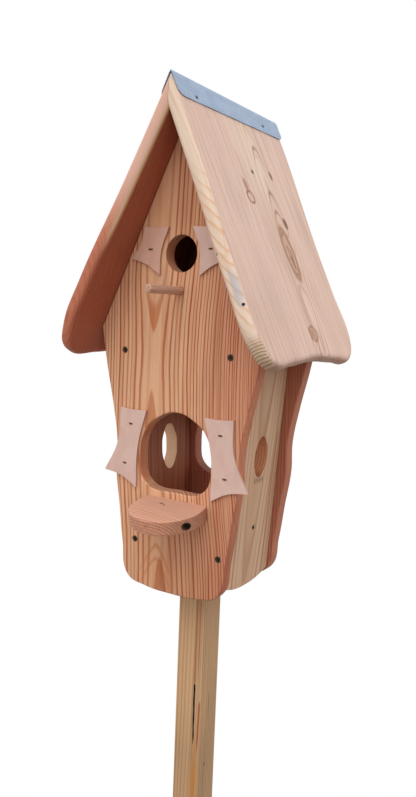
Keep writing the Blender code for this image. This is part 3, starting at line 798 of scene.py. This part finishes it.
def drive_screw(piece, node, start, direction, bore=0.004):
    """Sinks a screw into a board: a countersunk hole, and a head with a six-lobed drive."""
    local = drive_frame(start, direction)
    wide = HEAD_RADIUS + GAP
    slim = SHANK_RADIUS + GAP
    mouth = 0.0007
    hole = [
        (0, bore), (wide + mouth, bore), (wide + mouth, 0), (wide, -mouth),
        (wide, -SCREW_SINK - 0.0008), (slim, -SCREW_SINK - HEAD_HEIGHT - GAP), (slim, -0.03), (0, -0.03),
    ]
    cut(piece, turned(node + "_hole", hole, local))
    profile = [
        (0, -SCREW_SINK), (HEAD_RADIUS - 0.0005, -SCREW_SINK),
        (HEAD_RADIUS - 0.0001, -SCREW_SINK - 0.0001), (HEAD_RADIUS, -SCREW_SINK - 0.0005),
        (SHANK_RADIUS, -SCREW_SINK - HEAD_HEIGHT), (SHANK_RADIUS, -0.014), (0, -0.014),
    ]
    head = turned(node + "_fine", profile, local, sides=24)
    lobes = 6
    steps = 36
    work = bmesh.new()
    corners = []
    for step in range(steps):
        angle = tau * step / steps
        radius = 0.00155 + 0.00032 * cos(lobes * angle)
        corners.append(work.verts.new((radius * cos(angle), radius * sin(angle), 0.001)))
    depth = bmesh.ops.extrude_face_region(work, geom=[work.faces.new(corners)])
    moved = [item for item in depth["geom"] if isinstance(item, bmesh.types.BMVert)]
    bmesh.ops.translate(work, verts=moved, vec=(0, 0, -SCREW_SINK - 0.0026))
    cut(head, working_object(node + "_drive", made(work, node + "_drive"), local))
    settle(head, STEEL, node, 40)


def drive_gable_screws(piece, end, face_depth, into):
    for name, side in SIDES:
        for level, places in GABLE_SCREWS.items():
            start = (side * places[side][0], face_depth, places[side][1])
            drive_screw(piece, f"{end}_screw_{level}_{name}", start, into)


# Front and back boards

EAVES_LEVEL = -0.09
WAVY_EDGE = rounded(
    (0.1085, -0.136), (0.0968, -0.187), (0.089, -0.233), (0.0893, -0.27), (0.0825, -0.318),
    (0.0765, -0.362),
)
ROUND_FOOT = rounded((0.0665, -0.405), (0.04, -0.4135), (0, -0.4157))
OPENING_HALF = rounded(
    (0, -0.1893), (0.026, -0.1975), (0.0445, -0.2145), (0.0515, -0.248), (0.043, -0.2795), (0, -0.2868),
)


def gable_outline():
    drop = GAP / sin(ROOF_LEAN)
    half_width = (GABLE_TOP - drop - EAVES_LEVEL) * tan(ROOF_LEAN)
    top = [(0, GABLE_TOP - drop, CORNER), (half_width, EAVES_LEVEL, CORNER)]
    return mirrored(top + WAVY_EDGE + ROUND_FOOT)


def gable_board(name, face_depth):
    outlines = [gable_outline(), mirrored(OPENING_HALF)[::-1]]
    return board(name, outlines, BOARD, axes_frame((0, face_depth, 0), RIGHT, UP), 0.002, resolution=12)


def make_front(staples):
    front = gable_board("front_board_fine", 0)
    mouth = 0.0009
    wide = ENTRANCE_RADIUS + mouth
    profile = [
        (0, 0.01), (wide, 0.01), (wide, 0), (ENTRANCE_RADIUS + mouth * 0.3, -mouth * 0.3),
        (ENTRANCE_RADIUS, -mouth), (ENTRANCE_RADIUS, -BOARD + mouth), (wide, -BOARD), (wide, -0.03),
        (0, -0.03),
    ]
    cut(front, turned("entrance", profile, drive_frame((0, 0, 0), INTO), sides=96))
    perch = drive_frame((0, 0, -PERCH_DROP), INTO)
    drill(front, "perch_hole", DOWEL_RADIUS + GAP, PERCH_IN + GAP, perch, 40)
    drive_gable_screws(front, "front", 0, INTO)
    for start, direction in LANDING_SCREWS:
        drill(front, "landing_bore", SHANK_RADIUS + GAP, 0.05, drive_frame(start, direction))
    for number, (x, height) in enumerate(staples):
        reach = STAPLE_HALF + STAPLE_WIRE
        low = (x - reach, -0.01, height - STAPLE_SAG - STAPLE_WIRE)
        high = (x + reach, 0.008, height + STAPLE_WIRE)
        cut(front, box(f"staple_slot_{number}", low, high))
    settle(front, front_wood(), "front_board")


def make_back():
    back = gable_board("back_board_fine", HOUSE_DEPTH - BOARD)
    drive_gable_screws(back, "back", HOUSE_DEPTH, (0, -1, 0))
    settle(back, back_wood(), "back_board")


# Side boards

def slot_outline(side):
    """The long window of a side board, in its frame: a hand-cut oval."""
    depth, height, wide, tall = SLOTS[side]
    half = rounded(
        (0, tall), (wide * 0.83, tall * 0.54), (wide, 0), (wide * 0.83, -tall * 0.54), (0, -tall),
    )
    across = side * (depth - MID_DEPTH)
    up = height / cos(SIDE_LEAN)
    return [(x + across, y + up, corner) for x, y, corner in mirrored(half)]


def side_frame(side):
    """Local X along the depth, local Y up the leaning board, z = 0 on its outer face."""
    up = (side * sin(SIDE_LEAN), 0, cos(SIDE_LEAN))
    return axes_frame((side * SIDE_FACE, MID_DEPTH, 0), (0, side, 0), up)


def make_side(name, side):
    half = INNER_DEPTH / 2 - GAP
    stretch = 1 / cos(SIDE_LEAN)
    foot = SIDE_FOOT * stretch
    corner_rise = 0.009
    outline = [
        (-half, 0.02, CORNER), (-half, foot + corner_rise, CORNER),
        (-half * 0.6, foot + corner_rise * 0.3, SMOOTH), (0, foot, SMOOTH),
        (half * 0.6, foot + corner_rise * 0.3, SMOOTH), (half, foot + corner_rise, CORNER),
        (half, 0.02, CORNER),
    ]
    local = side_frame(side)
    piece = board(f"side_board_{name}_fine", [outline, slot_outline(side)[::-1]], BOARD, local, 0.0008, 2)
    low = (-0.1, -0.5, -BOARD - GAP)
    cut(piece, box(name + "_top_cut", low, (0.1, 0.2, 0.05), roof_frame(side)))
    tears = 6
    depth, height, _, tall = SLOTS[side]
    bottom = (height - tall) * stretch
    for number in range(tears):
        x = side * (depth - MID_DEPTH + 0.0042 * (number - tears / 2))
        top = bottom - 0.0015 - 0.0012 * (number % 2)
        low = (x - 0.0007, top - 0.005 + 0.0009 * (number % 3), -0.0009)
        gouge = box(f"{name}_tear_{number}", low, (x + 0.0008, top, 0.002), local)
        gouge.data.transform(Matrix.Shear("XZ", 4, (0.25, 0)))
        cut(piece, gouge)
    start = local @ Vector((side * 0.004, FLOOR_MIDDLE * stretch, 0))
    inward = local.to_3x3() @ Vector((0, 0, -1))
    slim = 0.0015
    bore = [(0, 0.004), (0.0028, 0.004), (0.0028, -0.0004), (slim, -0.0016), (slim, -0.03), (0, -0.03)]
    cut(piece, turned(name + "_nail_hole", bore, drive_frame(start, inward)))
    settle(piece, side_wood(side), "side_board_" + name)


# Roof

ROOF_FRONT_EDGE = rounded((-0.0005, 0), (-0.0085, -0.125), (-0.021, -0.255))
FRONT_CORNER = {
    -1: rounded((-0.0195, -0.315), (-0.002, -0.3465)),
    1: rounded((-0.0215, -0.324), (-0.006, -0.3485)),
}
ROOF_REST = rounded(
    (0.012, -0.3505), (0.075, -0.3465), (0.135, -0.35), (0.1745, -0.3515), (0.201, -0.3265),
    (0.203, -0.255), (0.2065, -0.18), (ROOF_BACK, -0.06), (ROOF_BACK + 0.0015, 0),
)


def roof_frame(side):
    """Local X along the ridge, local Y up the slope with y = 0 on the ridge line, z = 0 outside."""
    return axes_frame((0, MID_DEPTH, RIDGE_TOP), (0, side, 0), slope(side))


def cap_nail_places(side):
    """Each nail on one side of the cap: its end of the ridge, its place and its way in."""
    local = roof_frame(side)
    for end, (depth, drop) in CAP_NAILS.items():
        start = local @ Vector((side * (depth - MID_DEPTH), -drop, GAP + SHEET))
        yield end, start, local.to_3x3() @ Vector((0, 0, -1))


def make_roof(name, side):
    front = [(0, 0.03, CORNER)] + ROOF_FRONT_EDGE + FRONT_CORNER[side]
    edge = [(ROOF_FRONT + depth, up, kind) for depth, up, kind in front]
    edge += ROOF_REST + [(ROOF_BACK + 0.0015, 0.03, CORNER)]
    outline = [(side * (depth - MID_DEPTH), up, kind) for depth, up, kind in edge]
    if side < 0:
        outline.reverse()
    local = roof_frame(side)
    piece = board(f"roof_board_{name}_fine", [outline], BOARD, local, ROOF_ROUNDING, 4)
    reach = sorted((-side * 0.2, side * GAP / 2))
    cut(piece, box(name + "_mitre", (reach[0], -0.2, -0.1), (reach[1], 0.4, 0.3)))
    cut(piece, box(name + "_apex_trim", (-0.02, -0.1, RIDGE_TOP - APEX_TRIM), (0.02, 0.3, 0.3)))
    for end, start, inward in cap_nail_places(side):
        drill(piece, f"{name}_{end}_bore", 0.0012, 0.01, drive_frame(start, inward), 12)
    wood = right_roof_wood() if side > 0 else left_roof_wood()
    roof = settle(piece, wood, "roof_board_" + name)
    if side > 0:
        roof.data.materials.append(right_edge_wood())
        for face in roof.data.polygons:
            if face.normal.y < -0.4:
                face.material_index = 1


def cap_point(share, along):
    """A point of the folded sheet, from its shares of the flap's width and of the ridge's length."""
    flap = CAP_FLAP_FRONT + (CAP_FLAP_REAR - CAP_FLAP_FRONT) * along
    reach = abs(share) * flap
    over = max(0, reach - (flap - CAP_CORNER))
    inset = CAP_CORNER - sqrt(max(0, CAP_CORNER**2 - over**2))
    front = ROOF_FRONT + 0.002 + inset
    back = ROOF_BACK + 0.003 - inset
    fold = 0.004
    bent = min(reach, fold)
    rise = fold * 0.4 * (1 - (bent / fold) ** 2)
    x = copysign(reach * sin(ROOF_LEAN), share)
    z = -reach * cos(ROOF_LEAN) - rise
    lift = (GAP + SHEET) / sin(ROOF_LEAN)
    return Vector((x, front + (back - front) * along, RIDGE_TOP + lift + z))


def make_cap():
    """Sheet zinc folded over the ridge, slightly uneven, with a dimple under each nail."""
    rows = 90
    half = 20
    work = bmesh.new()
    bmesh.ops.create_grid(work, x_segments=2 * half, y_segments=rows, size=1)
    for vert in work.verts:
        share = round(vert.co.x * half) / half
        share = copysign(abs(share) ** 0.8, share)
        along = (vert.co.y + 1) / 2
        spot = cap_point(share, along)
        side = 1 if share > 0 else -1
        out = Vector((side * cos(ROOF_LEAN), 0, sin(ROOF_LEAN)))
        wave = 0.00022 * share**2 * (1 + sin(9 * along * pi + side))
        for depth, drop in CAP_NAILS.values():
            away = hypot(abs(share) * CAP_FLAP_FRONT - drop, spot.y - depth)
            wave -= 0.0002 * exp(-((away / 0.005) ** 2))
        vert.co = spot + out * wave
    cap = working_object("ridge_cap_fine", made(work, "ridge_cap_fine"), Matrix())
    shell = cap.modifiers.new("sheet", "SOLIDIFY")
    shell.thickness = SHEET
    shell.offset = -1
    settle(cap, zinc(), "ridge_cap", 50)
    for name, side in SIDES:
        for end, start, inward in cap_nail_places(side):
            profile = [
                (0, 0.0012), (0.001, 0.00112), (0.0018, 0.0008), (0.0022, 0.0003), (0.0021, 0),
                (0.0008, 0), (0.0008, -0.008), (0, -0.0085),
            ]
            label = f"cap_nail_{end}_{name}"
            piece = turned(label + "_fine", profile, drive_frame(start, inward), sides=20)
            settle(piece, NAIL_STEEL, label, 50)


# Landing board and perch


def make_landing():
    """A round-fronted board sloping away from the front board, cut off against it."""
    reach = acos(LANDING_REACH / LANDING_RADIUS)
    count = 10
    outline = []
    for step in range(count + 1):
        angle = reach + (2 * pi - 2 * reach) * step / count
        x = LANDING_SHIFT + LANDING_RADIUS * sin(angle)
        y = LANDING_RADIUS * cos(angle) - LANDING_REACH
        outline.append((x, y, SMOOTH if 0 < step < count else CORNER))
    outline[0] = (outline[0][0], 0.01, CORNER)
    outline[-1] = (outline[-1][0], 0.01, CORNER)
    away = (0, cos(LANDING_TILT), sin(LANDING_TILT))
    local = axes_frame((0, 0, LANDING_TOP), RIGHT, away)
    landing = board("landing_board_fine", [outline[::-1]], BOARD, local, 0.002)
    cut(landing, box("landing_trim", (-0.1, -GAP, -0.4), (0.1, 0.1, -0.2)))
    for (name, side), (start, direction) in zip(SIDES, LANDING_SCREWS):
        drive_screw(landing, "landing_screw_" + name, start, direction, bore=0.03)
    settle(landing, landing_wood(), "landing_board")


def make_perch():
    ease = 0.0012
    profile = [(0, PERCH_OUT), (DOWEL_RADIUS - ease, PERCH_OUT)]
    for step in range(1, 5):
        angle = pi / 2 * step / 4
        profile.append((DOWEL_RADIUS - ease + ease * sin(angle), PERCH_OUT - ease + ease * cos(angle)))
    profile += [(DOWEL_RADIUS, -PERCH_IN), (0, -PERCH_IN)]
    piece = turned("perch_fine", profile, drive_frame((0, 0, -PERCH_DROP), INTO), sides=48)
    settle(piece, dowel_wood(), "perch_dowel", 50)


# Shutters and staples

FEEDER_SHUTTER = {
    "corners": [(0.042, -0.19), (0.0815, -0.1893), (0.1045, -0.272), (0.0547, -0.2885)],
    "bows": [0.0012, 0.0085, 0.004, 0.0055], "staples": [(0.065, -0.2085), (0.073, -0.259)],
}
NEST_SHUTTER = {
    "corners": [(0.0168, 0.0312), (0.0522, 0.0325), (0.07, -0.006), (0.0283, -0.0255)],
    "bows": [0.0015, 0.004, 0.003, 0.0045], "staples": [(0.0422, 0.0055)],
}
STAPLE_HALF = 0.0024
STAPLE_WIRE = 0.0009
STAPLE_LEG = 0.008
STAPLE_SAG = 0.0013


def shutter_outline(corners, bows, side):
    """A four-cornered plate whose edges curve inwards between the corners."""
    outline = []
    for index, corner in enumerate(corners):
        following = corners[(index + 1) % len(corners)]
        edge = Vector(following) - Vector(corner)
        inward = Vector((edge.y, -edge.x)).normalized()
        middle = (Vector(corner) + Vector(following)) / 2 + inward * bows[index]
        outline.append((side * corner[0], corner[1], CORNER))
        outline.append((side * middle.x, middle.y, SMOOTH))
    return outline if side < 0 else outline[::-1]


def make_shutter(node, shape, side):
    outline = shutter_outline(shape["corners"], shape["bows"], side)
    plate = board(node + "_fine", [outline], PLATE, axes_frame((0, -PLATE - GAP, 0), RIGHT, UP), 0.0003, 1)
    for number, (x, height) in enumerate(shape["staples"], 1):
        label = f"{node}_staple_{number}"
        reach = STAPLE_HALF + STAPLE_WIRE * 0.6
        low = (side * x - reach, -0.01, height - STAPLE_SAG - STAPLE_WIRE * 0.4)
        high = (side * x + reach, 0.01, height + STAPLE_WIRE * 0.6)
        cut(plate, box(label + "_slit", low, high))
        make_staple(label, side * x, height)
    settle(plate, PLATE_WOOD, node)


def make_staple(node, x, height):
    """A wire staple: its crown sags on the plate and its legs reach into the front board."""
    face = -PLATE - 2 * GAP
    curve = bpy.data.curves.new(node, "CURVE")
    curve.dimensions = "3D"
    curve.bevel_depth = STAPLE_WIRE / 2
    curve.bevel_resolution = 3
    curve.use_fill_caps = True
    spline = curve.splines.new("POLY")
    steps = 10
    path = [(-STAPLE_HALF, face + STAPLE_LEG, 0)]
    for step in range(steps + 1):
        share = 2 * step / steps - 1
        drop = STAPLE_SAG * (1 - share * share)
        sink = STAPLE_WIRE * abs(share) ** 6
        path.append((STAPLE_HALF * share, face - 0.0001 + sink, -drop))
    path.append((STAPLE_HALF, face + STAPLE_LEG, 0))
    spline.points.add(len(path) - 1)
    for point, (across, depth, rise) in zip(spline.points, path):
        point.co = (across, depth, rise, 1)
    guide = bpy.data.objects.new(node + "_fine", curve)
    WORKSHOP.objects.link(guide)
    guide.matrix_world = HOUSE @ Matrix.Translation((x, 0, height))
    settle(guide, BRASS, node, 50)


# Pole


def make_pole():
    """The square pole with eased arrises and a long open shake in its front face."""
    low, high = (HOUSE.inverted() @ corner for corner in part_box("pole"))
    pole = box("pole_fine", low, high)
    arris = pole.modifiers.new("arris", "BEVEL")
    arris.width = 0.0018
    arris.segments = 4
    shake = bmesh.new()
    steps = 28
    top, bottom = -0.553, -0.637
    rings = []
    for step in range(steps + 1):
        share = step / steps
        height = top + (bottom - top) * share
        middle = 0.0086 + 0.0006 * share + 0.00015 * sin(17 * share)
        width = 0.0017 * min(1, 9 * share + 0.6, 7 * (1 - share) + 0.2)
        width *= 1.05 - 0.35 * share + 0.08 * sin(23 * share + 1)
        edge = [(middle - width, -0.002), (middle + width, -0.002), (middle + 0.0006, 0.0065)]
        rings.append([shake.verts.new((x, low.y + y, height)) for x, y in edge])
    for upper, lower in zip(rings, rings[1:]):
        for i in range(3):
            j = (i + 1) % 3
            shake.faces.new((upper[i], upper[j], lower[j], lower[i]))
    shake.faces.new(rings[0][::-1])
    shake.faces.new(rings[-1])
    cut(pole, working_object("shake", made(shake, "shake"), Matrix()))
    settle(pole, POLE_WOOD, "pole")


# Stage


def make_stage():
    """An even white surround over duller ground, and soft light from above the front."""
    scene = bpy.context.scene
    world = bpy.data.worlds.new("surround")
    world.use_nodes = True
    tree = world.node_tree
    background = tree.nodes["Background"]
    gaze = output_of(tree, "TexCoord", {}, "Generated")
    sky = dot(tree, gaze, UP).smooth(-0.3, 0.02)
    behind = dot(tree, gaze, (-0.521, 0.853, 0)).smooth(0.3, 0.55)
    bright = sky.math("MAXIMUM", behind)
    feed(tree, background.inputs["Color"], mix(tree, bright, (0.36, 0.32, 0.29), (1, 1, 1)))
    background.inputs["Strength"].default_value = 1
    scene.world = world
    sun = bpy.data.lights.new("soft_key", "SUN")
    sun.energy = 1
    sun.angle = radians(50)
    key = bpy.data.objects.new("soft_key", sun)
    scene.collection.objects.link(key)
    towards = Vector((-0.05, 0.55, -0.85))
    key.rotation_euler = towards.to_track_quat("-Z", "Y").to_euler()
    scene.view_settings.view_transform = "Standard"


def make_camera():
    """The eye stands in front, to the right and a little above the entrance, and looks down."""
    azimuth = radians(31.41)
    pitch = radians(6.64)
    roll = radians(2.25)
    camera = bpy.data.cameras.new("camera")
    camera.sensor_fit = "VERTICAL"
    camera.sensor_height = 36
    camera.lens = 34.057
    eye = bpy.data.objects.new("camera", camera)
    bpy.context.scene.collection.objects.link(eye)
    eye.matrix_world = (
        Matrix.Translation((0.5011, -0.8209, 1.2346))
        @ Matrix.Rotation(azimuth, 4, "Z")
        @ Matrix.Rotation(pi / 2 - pitch, 4, "X")
        @ Matrix.Rotation(roll, 4, "Z")
    )
    bpy.context.scene.camera = eye


# Assembly

STAPLES = [
    (side * x, height)
    for name, side in SIDES
    for shape in (FEEDER_SHUTTER, NEST_SHUTTER)
    for x, height in shape["staples"]
]
make_front(STAPLES)
make_back()
for name, side in SIDES:
    make_side(name, side)
    make_roof(name, side)
    make_shutter("feeder_shutter_" + name, FEEDER_SHUTTER, side)
    make_shutter("nest_shutter_" + name, NEST_SHUTTER, side)
make_cap()
make_landing()
make_perch()
make_pole()
REPLACED = {node for obj in bpy.data.objects for node in obj.get("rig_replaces", [])}
for node in sorted(set(frame["nodes"]) - REPLACED):
    if "screw" in node or "nail" in node:
        dress(node, STEEL)
    elif "cleat" in node:
        dress(node, POLE_WOOD)
    else:
        dress(node, FLOOR_WOOD)
for obj in list(WORKSHOP.objects):
    bpy.data.objects.remove(obj)
bpy.data.collections.remove(WORKSHOP)
make_stage()
make_camera()
